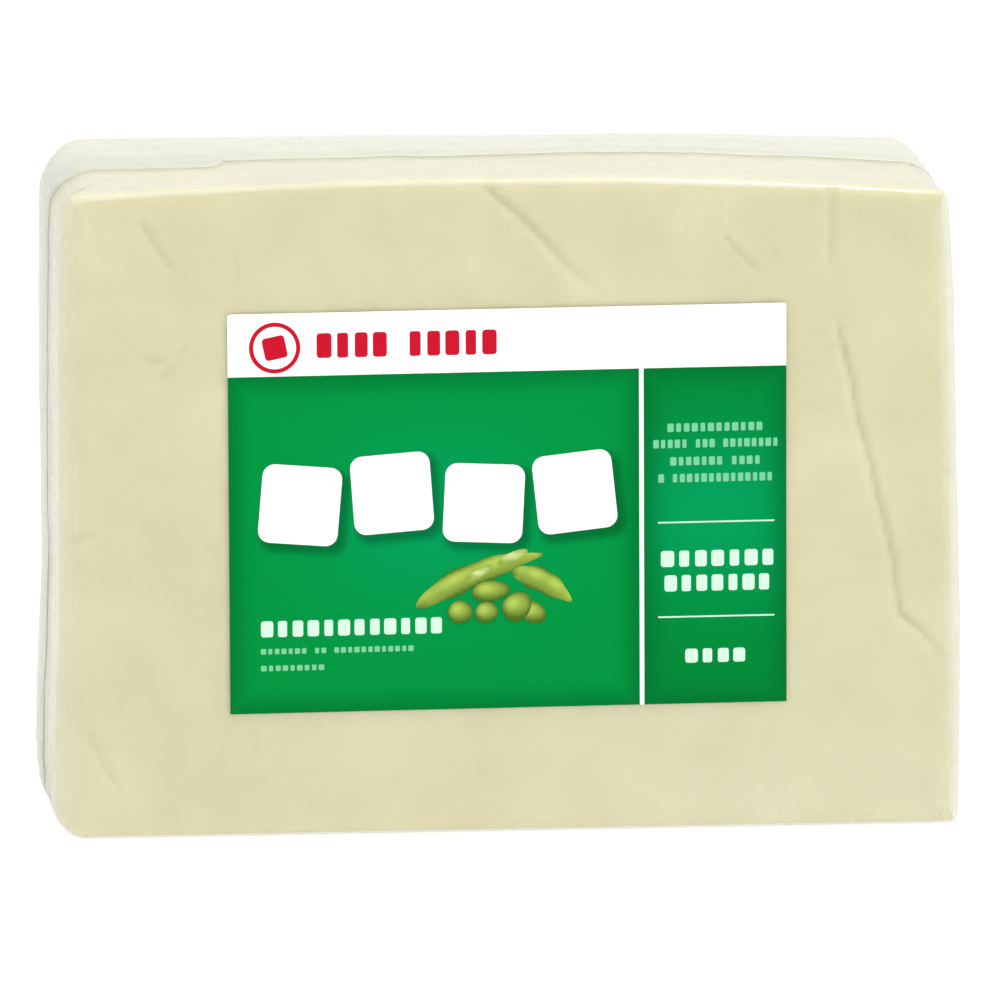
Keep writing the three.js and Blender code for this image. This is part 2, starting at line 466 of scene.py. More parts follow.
def map_node(tree, value, from_low, from_high, to_low, to_high):
    inputs = {"Value": value, "From Min": from_low, "From Max": from_high}
    inputs |= {"To Min": to_low, "To Max": to_high}
    return add_node(tree, "MapRange", inputs).outputs["Result"]


def math_node(tree, operation, inputs):
    node = add_node(tree, "Math", inputs)
    node.operation = operation
    return node.outputs["Value"]


def bump_node(tree, height, distance, strength, below=None):
    inputs = {"Height": height, "Distance": distance, "Strength": strength}
    if below is not None:
        inputs["Normal"] = below
    return add_node(tree, "Bump", inputs).outputs["Normal"]


def mix_shaders(tree, share, first, second):
    return add_node(tree, "MixShader", {0: share, 1: first, 2: second}).outputs["Shader"]


def tofu_material():
    """Moist bean curd: cream, faintly mottled, finely pitted, soft to light."""
    material, tree = new_material("bean_curd")
    coords = object_place(tree)
    mottle = noise_node(tree, coords, 70, 4, 0.6)
    pits = add_node(tree, "TexVoronoi", {"Vector": coords, "Scale": 420, "Randomness": 1})
    pit = map_node(tree, pits.outputs["Distance"], 0.0, 0.22, 0.0, 1.0)
    fine = bump_node(tree, noise_node(tree, coords, 900, 3, 0.6), 0.00012, 0.6)
    inputs = {
        "Base Color": ramp_node(tree, mottle, (0.3, 0.5, 0.7), TOFU_SHADES),
        "Normal": bump_node(tree, pit, 0.0001, 0.5, fine),
        "Roughness": map_node(tree, mottle, 0.3, 0.7, 0.42, 0.56),
        "Subsurface Weight": 0.35,
        "Subsurface Radius": (1.0, 0.8, 0.45),
        "Subsurface Scale": 0.003,
        "Specular IOR Level": 0.35,
    }
    shader = add_node(tree, "BsdfPrincipled", inputs)
    add_node(tree, "OutputMaterial", {"Surface": shader.outputs["BSDF"]})
    return material


def mirror_share(tree, normal, most):
    """How much the film mirrors: little head on, up to `most` at a glancing angle."""
    weight = add_node(tree, "LayerWeight", {"Blend": 0.5, "Normal": normal})
    steep = math_node(tree, "POWER", {0: weight.outputs["Facing"], 1: 4.0})
    return map_node(tree, steep, 0, 1, LEAST_MIRROR, most)


def film_shader(tree, haze_and_painted_light, roughness, most, normal):
    """Clear film: see-through, milky by its haze, and glossy; the milk scatters light both ways. On
    the pouch film the haze value also holds painted highlight and painted sheen.
    """
    white = {"Color": (*FILM_WHITE, 1), "Normal": normal}
    clear = add_node(tree, "BsdfTransparent", {})
    milk = add_node(tree, "BsdfDiffuse", white)
    glow = add_node(tree, "BsdfTranslucent", white)
    gloss = add_node(tree, "BsdfGlossy", {"Roughness": roughness, "Normal": normal})
    scatter = mix_shaders(tree, 0.5, milk.outputs["BSDF"], glow.outputs["BSDF"])
    body = mix_shaders(tree, haze_and_painted_light, clear.outputs["BSDF"], scatter)
    return mix_shaders(tree, mirror_share(tree, normal, most), body, gloss.outputs["BSDF"])


def patchy_haze_and_painted_light(tree, coords, scale):
    """The film's haze as kept on the mesh, a little uneven; on the pouch film it also holds painted
    highlight and painted sheen.
    """
    patch = map_node(tree, noise_node(tree, coords, scale, 3, 0.6), 0.3, 0.7, 0.86, 1.14)
    return math_node(tree, "MULTIPLY", {0: kept_value(tree, "haze_and_painted_light", "Fac"), 1: patch})


def film_material():
    """The pouch's film where it lies on the tofu; its kept haze holds a painted highlight along the
    rolled top edges and painted sheen on the top and ends.
    """
    material, tree = new_material("clear_film")
    coords = object_place(tree)
    haze_and_painted_light = patchy_haze_and_painted_light(tree, coords, 90)
    normal = bump_node(tree, noise_node(tree, coords, 260, 3, 0.5), 0.00005, 0.5)
    shader = film_shader(tree, haze_and_painted_light, 0.16, FILM_MIRROR, normal)
    add_node(tree, "OutputMaterial", {"Surface": shader})
    return material


def rim_material():
    """The doubled, heat-sealed film of the rim: milky, with fine ribs along its seal."""
    material, tree = new_material("sealed_film")
    coords = object_place(tree)
    haze_and_painted_light = patchy_haze_and_painted_light(tree, coords, 120)
    soft = bump_node(tree, noise_node(tree, coords, 300, 3, 0.5), 0.00005, 0.5)
    phase = map_node(tree, kept_value(tree, "across", "Fac"), 0, 1, 0, RIB_PHASE)
    normal = bump_node(tree, math_node(tree, "SINE", {0: phase}), 0.00001, 0.5, soft)
    shader = film_shader(tree, haze_and_painted_light, 0.2, RIM_MIRROR, normal)
    add_node(tree, "OutputMaterial", {"Surface": shader})
    return material


def print_material():
    """The sticker: printed colours kept on the mesh, under a satin varnish."""
    material, tree = new_material("printed_sticker")
    coords = object_place(tree)
    wave = noise_node(tree, coords, 110, 2, 0.5)
    tooth = noise_node(tree, coords, 2600, 2, 0.5)
    broad = bump_node(tree, wave, 0.00025, 0.5)
    inputs = {
        "Base Color": kept_value(tree, "ink", "Color"),
        "Normal": bump_node(tree, tooth, 0.00001, 0.6, broad),
        "Roughness": map_node(tree, wave, 0.3, 0.7, 0.34, 0.46),
        "Specular IOR Level": 0.02,
    }
    shader = add_node(tree, "BsdfPrincipled", inputs)
    add_node(tree, "OutputMaterial", {"Surface": shader.outputs["BSDF"]})
    return material


# ---------------- the tofu and its film


def flat_below(normals, height):
    """The heights, with the underside left flat."""
    return np.where(normals[:, 2] < -0.9, 0, height)


def build_tofu():
    sharp, faces = box_skin(TOFU_SPACING)
    points, normals = round_block(sharp)
    pitted = 0.07 * noise(points, 2.6, 5) + 0.05 * np.minimum(noise(points, 1.7, 6), 0)
    height = skin_height(points, normals) + pitted * smooth(0, 3, points[:, 2])
    height = flat_below(normals, height - dents(points, normals))
    place = settle(points + normals * (height - FILM_GAP)[:, None])
    place[:, 2] = np.maximum(place[:, 2], FILM_GAP)
    tofu = make_piece("tofu_block", place, faces, tofu_material())
    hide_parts("pouch")


def ridges(phase):
    """Narrow rounded ridges, one for each whole number that the phase passes."""
    return bump(phase - np.floor(phase), 0.5, 0.13)


def edge_wrinkles(points, normals):
    """Fine upright folds of film along the two ends of the front."""
    from_end = HALF[0] - np.abs(points[:, 0])
    phase = from_end / 1.9 + 0.7 * noise(points * [1, 1, 0.25], 6, 21)
    patchy = smooth(0.0, 0.6, noise(points * [1, 1, 0.35], 8, 22) + 0.25)
    return 0.04 * ridges(phase) * smooth(8, 1.0, from_end) * patchy * facing(normals, -1)


def corner_wrinkles(points):
    """Folds that fan out from the block's corners."""
    total = np.zeros(len(points))
    for side in (-1, 1):
        for level in (0, HEIGHT):
            dx = points[:, 0] - side * (HALF[0] + 3)
            dz = points[:, 2] - level
            away = np.hypot(dx, dz)
            turn = np.arctan2(dz, -side * dx)
            phase = 9 * turn / math.pi + 0.35 * noise(points, 9, 31) + 0.002 * points[:, 1]
            strength = smooth(19, 8, away) * smooth(0.0, 0.5, noise(points, 7, 32 + side) + 0.2)
            total += 0.09 * ridges(phase) * strength
    return total


def ends_and_top(normals):
    """1 on the ends and 1 on the top, each fading to 0 round its edges."""
    return smooth(0.5, 0.95, np.abs(normals[:, 0])), smooth(0.5, 0.95, normals[:, 2])


def side_wrinkles(points, normals):
    """Slack folds along the ends and the top, where the film is drawn together at the seam."""
    _, y, z = points.T
    ends, top = ends_and_top(normals)
    lengthwise = y / 3.4 + 0.8 * noise(points * [0.3, 1, 0.3], 9, 41)
    crossing = (z + 0.6 * y) / 6.5 + 0.9 * noise(points, 12, 42)
    patchy = smooth(-0.1, 0.6, noise(points, 11, 43))
    on_ends = 0.08 * ridges(lengthwise) + 0.10 * ridges(crossing) * patchy
    on_top = 0.05 * ridges(lengthwise + 0.4) * patchy
    return (ends * on_ends + top * on_top) * smooth(0, 4, z)


def film_bulge(points, normals):
    """Film that tents between the block's edges and the seam instead of lying on the ends."""
    near_seam = bump(points[:, 1], SEAM_Y, 9)
    ends, top = ends_and_top(normals)
    return near_seam * (0.3 * ends + 0.1 * top) * smooth(0, 10, points[:, 2])


def film_height(points, normals):
    """How far out of the rounded block the film lies."""
    front = facing(normals, -1)
    crisp = 0.05 * np.abs(noise(points, 3.2, 51)) * (1 - front * 0.7)
    folds = edge_wrinkles(points, normals) + corner_wrinkles(points)
    folds += side_wrinkles(points, normals)
    free = smooth(0, 3, points[:, 2]) * (1 - front * (1 - clear_of_label(points)))
    extra = (crisp + folds) * free + film_bulge(points, normals)
    return skin_height(points, normals) - dents(points, normals, 1.3) + extra


# How milky the film is, from 0 to 1, where it is drawn together, with painted light in it: the top
# and ends are partly milky film and partly painted sheen, the rolled top edges carry a painted
# highlight, and the film is paler low on the front.
HAZE_AND_PAINTED_LIGHT = {"top": 0.42, "left": 0.45, "right": 0.95, "painted_roll_highlight": 0.6, "low": 0.25, "least": 0.015}


def film_haze_and_painted_light(points, normals):
    """How milky the film looks: clear on the front, whiter where it is drawn together and partly as
    painted sheen on the top and ends, with a painted highlight along the rolled top edges, and
    paler low on the front.
    """
    x, _, z = points.T
    # Milky film on the top, whitened further as painted sheen of the light from above.
    top = HAZE_AND_PAINTED_LIGHT["top"] * smooth(0.4, 0.9, normals[:, 2])
    # Milky film on the ends, whitened further as painted sheen of the glancing reflection.
    ends = smooth(0.0, 0.85, np.abs(normals[:, 0])) * np.where(x > 0, HAZE_AND_PAINTED_LIGHT["right"], HAZE_AND_PAINTED_LIGHT["left"])
    # A painted highlight along the rolled front and back top edges, fading out towards the right
    # end.
    painted_roll_highlight = smooth(0.25, 0.6, normals[:, 2]) * smooth(0.25, 0.6, np.abs(normals[:, 1]))
    painted_roll_highlight *= HAZE_AND_PAINTED_LIGHT["painted_roll_highlight"] * smooth(52, 34, x)
    # Paler low on the front, and more so towards the right.
    low = HAZE_AND_PAINTED_LIGHT["low"] * smooth(34, 0, z) * (0.4 + 0.6 * smooth(-30, 50, x))
    return np.maximum.reduce([top, ends, painted_roll_highlight, low]) + HAZE_AND_PAINTED_LIGHT["least"]


def build_film():
    sharp, faces = box_skin(FILM_SPACING)
    points, normals = round_block(sharp)
    height = flat_below(normals, film_height(points, normals))
    place = settle(points + normals * height[:, None])
    film = make_piece("film_wrap", place, faces, film_material())
    # The kept haze holds the painted highlight and the painted sheen as well as the film's
    # milkiness.
    add_values(film, "haze_and_painted_light", film_haze_and_painted_light(points, normals))
    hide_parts("pouch")


# ---------------- the folded rim

RIM_WIDE = 17.0  # from the seam back to the rim's free edge
RIM_THICK = 0.1
RIM_FOOT_TURN = 40  # degrees by which the rim's feet turn in under the block's lower corners
RIM_LIFT = 0.17  # its outer face lies this far off the film
RIM_HAZE = 0.54
SEAL_HAZE = 0.2  # and this much more on the heat seal

# The corner flap, from its start to its end along the outline, and from front to back.
FLAP_ALONG = (86, 112)
FLAP_DEPTHS = (-4.6, 4.2)
FLAP_EDGE_LIFT = 0.05  # its edge lies this far off the film
FLAP_LIFT = 0.3  # and its middle this far
FLAP_HAZE = 0.4


def outline_path(step):
    """Points up the left end, over the top and down the right end, with their ways out."""
    hx, hz = HALF[0], HEIGHT
    corners = [
        ((-hx, 0), CORNER_ROUND["bottom_left"], 180 + RIM_FOOT_TURN, 180),
        ((-hx, hz), CORNER_ROUND["top_left"], 180, 90),
        ((hx, hz), CORNER_ROUND["top_right"], 90, 0),
        ((hx, 0), CORNER_ROUND["bottom_right"], 0, -RIM_FOOT_TURN),
    ]
    points, outs = [], []
    for (x, z), radius, first, last in corners:
        inward = np.array([-np.sign(x), 1 if z == 0 else -1])
        centre = np.array([x, z]) + radius * inward
        arc_steps = max(6, round(radius * math.radians(first - last) / step))
        turn = np.radians(np.linspace(first, last, arc_steps + 1))
        out = np.column_stack([np.cos(turn), np.sin(turn)])
        arc = centre + radius * out
        if points:
            start = points[-1][-1]
            line_steps = max(2, round(math.dist(start, arc[0]) / step))
            t = np.linspace(0, 1, line_steps, endpoint=False)[1:, None]
            points.append(start * (1 - t) + arc[0] * t)
            outs.append(np.tile(out[0], (len(t), 1)))
        points.append(arc)
        outs.append(out)
    return np.concatenate(points), np.concatenate(outs)


def travelled_along(path):
    """How far along the path each of its points is."""
    steps = np.linalg.norm(np.diff(path, axis=0), axis=1)
    return np.concatenate([[0], np.cumsum(steps)])


def strip_on_outline(path, outs, depths, lifts, thick):
    """A closed strip along the outline; `depths` and `lifts` have a row for each point of it."""
    rows, columns = depths.shape
    x = np.repeat(path[:, :1], columns, axis=1).ravel()
    z = np.repeat(path[:, 1:], columns, axis=1).ravel()
    out = np.repeat(outs, columns, axis=0)
    normals = np.column_stack([out[:, 0], np.zeros(len(out)), out[:, 1]])
    base = np.column_stack([x, depths.ravel(), z])
    skin = film_height(base, normals)
    outer = base + normals * (skin + lifts.ravel())[:, None]
    across = np.gradient(outer.reshape(rows, columns, 3), axis=1).reshape(-1, 3)
    along = np.gradient(outer.reshape(rows, columns, 3), axis=0).reshape(-1, 3)
    inner = outer - unit(np.cross(across, along)) * thick
    quads = grid_quads(np.arange(rows * columns).reshape(rows, columns))
    return slab(settle(outer), quads.tolist(), settle(inner))


def build_rim(material):
    """The sealed rim, folded over at the seam and laid flat on the rear half of the sides."""
    path, outs = outline_path(0.8)
    share = np.linspace(0, 1, 34)
    travelled = travelled_along(path)
    along = travelled[:, None] + 0 * share[None, :]
    across = RIM_WIDE * share[None, :] + 0 * along
    flat = np.column_stack([along.ravel(), across.ravel(), np.zeros(along.size)])
    slow = noise(flat * [1, 0.5, 1], 22, 61).reshape(along.shape)
    quick = noise(flat * [0.5, 1, 1], 3.4, 62).reshape(along.shape)
    wander = noise(flat * [1, 0, 1], 30, 63).reshape(along.shape)
    edge = noise(flat * [1, 0, 1], 14, 64).reshape(along.shape)
    free = smooth(0.4, 1.0, share)[None, :]
    from_foot = np.minimum(along, travelled[-1] - along)
    narrowing = 0.3 + 0.7 * smooth(0, 9, from_foot) ** 0.5
    depths = SEAM_Y + (across + 0.6 * wander + 0.7 * edge * free) * narrowing
    lifts = RIM_LIFT + 0.03 * slow + 0.03 * quick + 0.08 * free * (1 + slow)
    lifts = np.maximum(lifts, RIM_THICK + 0.03) * smooth(-0.06, 0.12, share)[None, :]
    points, faces = strip_on_outline(path, outs, depths, lifts, RIM_THICK)
    rim = make_piece("seal_rim", points, faces, material)
    shares = np.tile(np.tile(share, len(path)), 2)
    add_values(rim, "across", shares)
    seal = smooth(0.15, 0.4, shares) * smooth(0.95, 0.8, shares)
    add_values(rim, "haze_and_painted_light", RIM_HAZE + SEAL_HAZE * seal)
    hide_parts("pouch")


def build_flap(material):
    """A tongue of doubled film at the top left corner of the pouch, folded over the top."""
    start, end = FLAP_ALONG
    front, back = FLAP_DEPTHS
    path, outs = outline_path(0.5)
    travelled = travelled_along(path)
    inside = (travelled >= start) & (travelled <= end)
    path, outs, travelled = path[inside], outs[inside], travelled[inside]
    t = (travelled - start) / (end - start)
    share = np.linspace(0, 1, 15)
    half = (back - front) / 2
    narrowing = np.sqrt(np.clip(1 - smooth(0.86, 1.0, t) ** 2 * 0.85, 0.05, 1))
    narrowing *= 0.55 + 0.45 * smooth(0.0, 0.25, t)
    centre = (back + front) / 2 - 1.2 * (t - 0.5)
    depths = centre[:, None] + half * narrowing[:, None] * (2 * share[None, :] - 1)
    along, across = np.repeat(travelled, len(share)), np.tile(share * 8, len(travelled))
    rough = noise(np.column_stack([along, across, 0 * along]), 4, 71).reshape(depths.shape)
    arch = 0.08 * (1 - (2 * share - 1) ** 2)[None, :]
    rise = np.minimum(smooth(0, 0.25, share), smooth(1, 0.75, share))[None, :]
    lifts = FLAP_EDGE_LIFT + (FLAP_LIFT - FLAP_EDGE_LIFT) * rise + arch + 0.03 * rough
    points, faces = strip_on_outline(path, outs, depths, lifts, RIM_THICK)
    flap = make_piece("corner_flap", points, faces, material)
    add_values(flap, "across", np.full(len(points), 0.5))
    add_values(flap, "haze_and_painted_light", np.full(len(points), FLAP_HAZE))
    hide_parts("pouch")


# ---------------- the label's print

# Places on the label are u, to the right, and v, up, from its middle. An ink is an outline,
# the level that it is printed on, and a function that colours places.

WHITE = linear(250, 250, 248)
MINT = linear(206, 240, 216)
FAINT_TYPE = linear(120, 200, 152)
GREEN_INNER = linear(0, 149, 84)
GREEN_MAIN = linear(0, 140, 59)
GREEN_SHADE = linear(0, 104, 45)
GREEN_SIDE = linear(0, 126, 48)
RED = linear(196, 22, 44)

HEADER_HIGH = 8.9  # the white band along the label's top
DIVIDER_U = 18.8  # the white line between the two green panels
DIVIDER_WIDE = 0.65

# The four diced cubes where a name would be: centre u, v, turn in degrees.
CUBE = 11.2
CUBE_ROUND = 1.7
CUBES = [(-29.2, 1.2, -5.0), (-16.3, 2.6, 4.0), (-3.4, 0.9, -3.0), (9.4, 2.2, 6.0)]
SHADOW_SHIFT = (0.7, -0.8)
WORD_GAP = 0.9  # between words of plain blocks, as a share of their pitch


def constant(colour):
    return lambda u, v: np.tile(colour, (len(u), 1))


def rounded_square(u, v, size, radius, turn):
    """Distance outside a turned square with round corners, below 0 inside it."""
    level_u, level_v = turned(u, v, -turn)
    across = np.abs(level_u) - size / 2 + radius
    up = np.abs(level_v) - size / 2 + radius
    outside = np.hypot(np.maximum(across, 0), np.maximum(up, 0))
    return outside + np.minimum(np.maximum(across, up), 0) - radius


def cube_shadow(u, v):
    """1 in the soft shadow beside the white cubes, 0 away from them."""
    shade = np.zeros(len(u))
    for centre_u, centre_v, turn in CUBES:
        du, dv = u - centre_u - SHADOW_SHIFT[0], v - centre_v - SHADOW_SHIFT[1]
        distance = rounded_square(du, dv, CUBE, CUBE_ROUND, math.radians(turn))
        shade = np.maximum(shade, smooth(1.3, -0.3, distance))
    return shade


def panel_colour(low, high, middle, shadowed):
    """Green that darkens softly towards the panel's border."""

    def colour(u, v):
        border = np.minimum.reduce([u - low[0], high[0] - u, v - low[1], high[1] - v])
        centre = [(low[0] + high[0]) / 2, (low[1] + high[1]) / 2 + 3]
        glow = bump(np.hypot((u - centre[0]) / 1.3, v - centre[1]), 0, 13)[:, None]
        shade = (0.85 * smooth(4.2, -1.5, border))[:, None]
        mixed = middle + (GREEN_INNER - middle) * glow
        mixed = mixed + (GREEN_SHADE - mixed) * shade
        if shadowed:
            mixed = mixed * (1 - 0.45 * cube_shadow(u, v)[:, None])
        return mixed

    return colour


def bean_colour(centre, half_long, half_wide, turn, light, dark):
    """A plump bean: lit from the upper left, darker round its rim."""

    def colour(u, v):
        du, dv = u - centre[0], v - centre[1]
        along, across = turned(du, dv, -turn)
        rim = smooth(0.55, 1.05, np.hypot(along / half_long, across / half_wide))
        lit = bump(np.hypot(du / half_long + 0.3, dv / half_wide - 0.35), 0, 0.55)
        under = smooth(0.1, -0.9, dv / half_wide)
        share = np.clip(0.45 + 0.55 * lit - 0.4 * rim - 0.35 * under, 0, 1)[:, None]
        return dark + (light - dark) * share

    return colour


def rectangle(low, high):
    return [(low[0], low[1]), (high[0], low[1]), (high[0], high[1]), (low[0], high[1])]


def rounded_outline(centre, wide, high, radius, turn=0.0, steps=6):
    """A rectangle with round corners, counter-clockwise."""
    points = []
    for quarter, (su, sv) in enumerate([(1, -1), (1, 1), (-1, 1), (-1, -1)]):
        for step in range(steps + 1):
            angle = math.radians(-90 + 90 * quarter + 90 * step / steps)
            u = su * (wide / 2 - radius) + radius * math.cos(angle)
            v = sv * (high / 2 - radius) + radius * math.sin(angle)
            du, dv = turned(u, v, turn)
            points.append((centre[0] + du, centre[1] + dv))
    return points


def ellipse(centre, half_long, half_wide, turn, steps=36, lumps=0.0):
    points = []
    for step in range(steps):
        angle = 2 * math.pi * step / steps
        reach = 1 + lumps * math.cos(3 * angle + 0.6)
        along, across = half_long * reach * math.cos(angle), half_wide * reach * math.sin(angle)
        du, dv = turned(along, across, turn)
        points.append((centre[0] + du, centre[1] + dv))
    return points


def pod_axes(tail, tip):
    """Where a pod starts, its way along to its tip, and the unit way across it."""
    along = np.array(tip) - np.array(tail)
    across = np.array([-along[1], along[0]]) / np.linalg.norm(along)
    return np.array(tail), along, across


def pod_bow(bend, t):
    """How far a pod is bowed to its side, at each share of its length."""
    return bend * 4 * t * (1 - t)


def pod_outline(tail, tip, bend, half_wide, steps=22):
    """A bean pod: a bowed line that swells and narrows to both ends."""
    tail, along, side = pod_axes(tail, tip)
    upper, lower = [], []
    for t in np.linspace(0, 1, steps + 1):
        centre = tail + along * t + side * pod_bow(bend, t)
        wide = half_wide * (0.10 + 0.9 * math.sin(math.pi * min(1, t * 1.02) ** 0.8) ** 0.75)
        wide *= 1 + 0.08 * math.cos(6 * math.pi * t)
        upper.append(tuple(centre + side * wide))
        lower.append(tuple(centre - side * wide))
    return lower + upper[::-1]


def pod_colour(tail, tip, bend, half_wide, light, dark):
    """A pod: lit along one side, darker at its edges and its ends."""
    tail, along, side = pod_axes(tail, tip)

    def colour(u, v):
        place = np.column_stack([u, v]) - tail
        t = np.clip(place @ along / (along @ along), 0, 1)
        across = (place @ side - pod_bow(bend, t)) / half_wide
        lit = bump(across, 0.35, 0.5) * (0.8 + 0.2 * np.cos(6 * math.pi * t))
        edge = smooth(0.55, 1.0, np.abs(across)) + smooth(0.12, 0.0, t) + smooth(0.95, 1.0, t)
        share = np.clip(0.35 + 0.65 * lit - 0.45 * edge, 0, 1)[:, None]
        return dark + (light - dark) * share

    return colour


def type_blocks(low_u, high_u, centre_v, high, words, colour):
    """Inks for a line of type shown as plain blocks, with that many blocks in each word."""
    pitch = (high_u - low_u) / (sum(words) + WORD_GAP * (len(words) - 1) - 0.3)
    start = low_u
    inks = []
    for word, count in enumerate(words):
        for block in range(count):
            wide = pitch * (0.68 + 0.12 * math.cos(2.4 * (block + word)))
            centre = (start + pitch * 0.35, centre_v)
            outline = rounded_outline(centre, wide, high, 0.2 * wide, steps=2)
            inks.append((outline, 2, constant(colour)))
            start += pitch
        start += WORD_GAP * pitch
    return inks


def panel_inks():
    half_u, half_v = LABEL_WIDE / 2, LABEL_TALL / 2
    top = half_v - HEADER_HIGH
    main_low, main_high = (-half_u, -half_v), (DIVIDER_U - DIVIDER_WIDE / 2, top)
    side_low, side_high = (DIVIDER_U + DIVIDER_WIDE / 2, -half_v), (half_u, top)
    main = panel_colour(main_low, main_high, GREEN_MAIN, True)
    side = panel_colour(side_low, side_high, GREEN_SIDE, False)
    return [(rectangle(main_low, main_high), 1, main), (rectangle(side_low, side_high), 1, side)]


def header_inks():
    centre_v = LABEL_TALL / 2 - HEADER_HIGH / 2 - 0.4
    centre = (-32.6, centre_v)
    mark = [
        (ellipse(centre, 3.6, 3.6, 0), 2, constant(RED)),
        (ellipse(centre, 3.0, 3.0, 0), 3, constant(WHITE)),
        (rounded_outline(centre, 3.2, 3.2, 0.5, 0.2), 4, constant(RED)),
    ]
    return mark + type_blocks(-26.6, -1.6, centre_v + 0.2, 3.5, [4, 5], RED)


def cube_inks():
    inks = []
    for u, v, turn in CUBES:
        outline = rounded_outline((u, v), CUBE, CUBE, CUBE_ROUND, math.radians(turn))
        inks.append((outline, 3, constant(WHITE)))
    return inks


def bean_inks():
    light, dark = linear(178, 200, 88), linear(66, 106, 30)
    pale, pale_rim = linear(222, 232, 160), linear(138, 164, 70)
    low_pod = ((0.6, -8.9), (8.9, -13.4), 0.7, 1.7)
    high_pod = ((-13.0, -13.7), (4.8, -6.6), 1.1, 1.75)
    inks = [
        (pod_outline(*low_pod), 4, pod_colour(*low_pod, light, dark)),
        (pod_outline(*high_pod), 5, pod_colour(*high_pod, light, dark)),
    ]
    pod_lights = (
        ((0.6, -6.9), 2.3, 0.72, math.radians(24)),
        ((-4.2, -9.2), 2.3, 0.62, math.radians(32)),
    )
    for centre, half_long, half_wide, turn in pod_lights:
        colour = bean_colour(centre, half_long, half_wide, turn, pale, pale_rim)
        inks.append((ellipse(centre, half_long, half_wide, turn), 6, colour))
    beans = (
        ((3.5, -14.9), 1.9, 1.5, -0.5),
        ((1.2, -14.0), 2.3, 1.9, 0.9),
        ((-2.5, -11.7), 2.7, 1.5, 0.1),
        ((-6.8, -14.6), 1.75, 1.65, 0.0),
        ((-3.1, -14.7), 1.65, 1.5, 0.3),
    )
    for level, (centre, half_long, half_wide, turn) in enumerate(beans, start=7):
        colour = bean_colour(centre, half_long, half_wide, turn, light, dark)
        inks.append((ellipse(centre, half_long, half_wide, turn, lumps=0.03), level, colour))
    return inks


def caption_inks():
    inks = type_blocks(-34.7, -9.4, -16.4, 2.3, [12], MINT)
    inks += type_blocks(-34.8, -13.4, -19.6, 0.8, [7, 2, 12], FAINT_TYPE)
    inks += type_blocks(-34.8, -26.0, -22.0, 0.8, [9], FAINT_TYPE)
    return inks


def side_text_inks():
    inks = []
    for low_u, high_u, v, words in (
        (22.5, 35.8, 11.0, [12]),
        (20.5, 38.0, 8.7, [5, 3, 8]),
        (22.9, 35.5, 6.2, [7, 4]),
        (21.2, 37.2, 3.8, [1, 14]),
    ):
        inks += type_blocks(low_u, high_u, v, 1.2, words, FAINT_TYPE)
    for v in (-2.5, -16.0):
        inks.append((rectangle((21.1, v - 0.11), (37.5, v + 0.11)), 2, constant(MINT)))
    inks += type_blocks(21.6, 37.4, -7.7, 2.3, [7], MINT)
    inks += type_blocks(22.1, 36.8, -11.2, 2.3, [7], MINT)
    inks += type_blocks(25.0, 33.3, -21.6, 2.0, [4], MINT)
    return inks


def cut_up(outlines, spacing):
    """Cuts flat outlines along a square grid, so that they can follow a curved sheet."""
    mesh = bmesh.new()
    tag = mesh.faces.layers.int.new("ink")
    for number, outline in enumerate(outlines):
        face = mesh.faces.new([mesh.verts.new((u, v, 0)) for u, v in outline])
        face[tag] = number
    for axis in range(2):
        half = (LABEL_WIDE, LABEL_TALL)[axis] / 2
        normal = [0, 0, 0]
        normal[axis] = 1
        count = int(half // spacing)
        for line in range(-count, count + 1):
            place = [0, 0, 0]
            place[axis] = line * spacing
            geometry = mesh.verts[:] + mesh.edges[:] + mesh.faces[:]
            bmesh.ops.bisect_plane(
                mesh, geom=geometry, dist=1e-5, plane_co=place, plane_no=normal
            )
    mesh.verts.index_update()
    points = np.array([vertex.co[:2] for vertex in mesh.verts])
    faces = [[vertex.index for vertex in face.verts] for face in mesh.faces]
    tags = [face[tag] for face in mesh.faces]
    mesh.free()
    return points, faces, tags


INK_STEP = 0.012  # each layer of print stands this far above the one below
INK_SPACING = 0.5  # between the lines that an ink is cut along
SHEET_SPACING = 2.0


def label_place(u, v, level):
    """Points in front of the block, from places on the label."""
    du, dv = turned(u, v, LABEL_TURN)
    x = LABEL_CENTRE[0] + du
    z = LABEL_CENTRE[2] + dv
    front = np.column_stack([x, np.full(len(u), -HALF[1]), z])
    out = label_swell(front) + LABEL_LIFT + level
    return np.column_stack([x, POUCH_LOW[1] - out, z])


def label_layer(points, faces, colours, top, thick):
    """One closed plate of the label, with the colour of each point."""
    u, v = points.T
    outer = label_place(u, v, top)
    inner = label_place(u, v, top - thick)
    plate, plate_faces = slab(outer, faces, inner)
    return plate, plate_faces, np.concatenate([colours, colours])


def sheet_layer():
    """The white sheet that the inks are printed on."""
    outline = rounded_outline((0, 0), LABEL_WIDE, LABEL_TALL, 0.4, steps=3)
    points, faces, _ = cut_up([outline], SHEET_SPACING)
    return label_layer(points, faces, constant(WHITE)(*points.T), LABEL_THICK, LABEL_THICK)


def ink_layers(inks):
    """A closed plate for each ink."""
    points, faces, tags = cut_up([ink[0] for ink in inks], INK_SPACING)
    layers = []
    for number, (_, level, colour) in enumerate(inks):
        mine = [face for face, tag in zip(faces, tags) if tag == number]
        used = sorted({index for face in mine for index in face})
        renumber = {old: new for new, old in enumerate(used)}
        own = points[used]
        own_faces = [tuple(renumber[index] for index in face) for face in mine]
        top = LABEL_THICK + INK_STEP * level
        layers.append(label_layer(own, own_faces, colour(*own.T), top, INK_STEP * (level + 1)))
    return layers


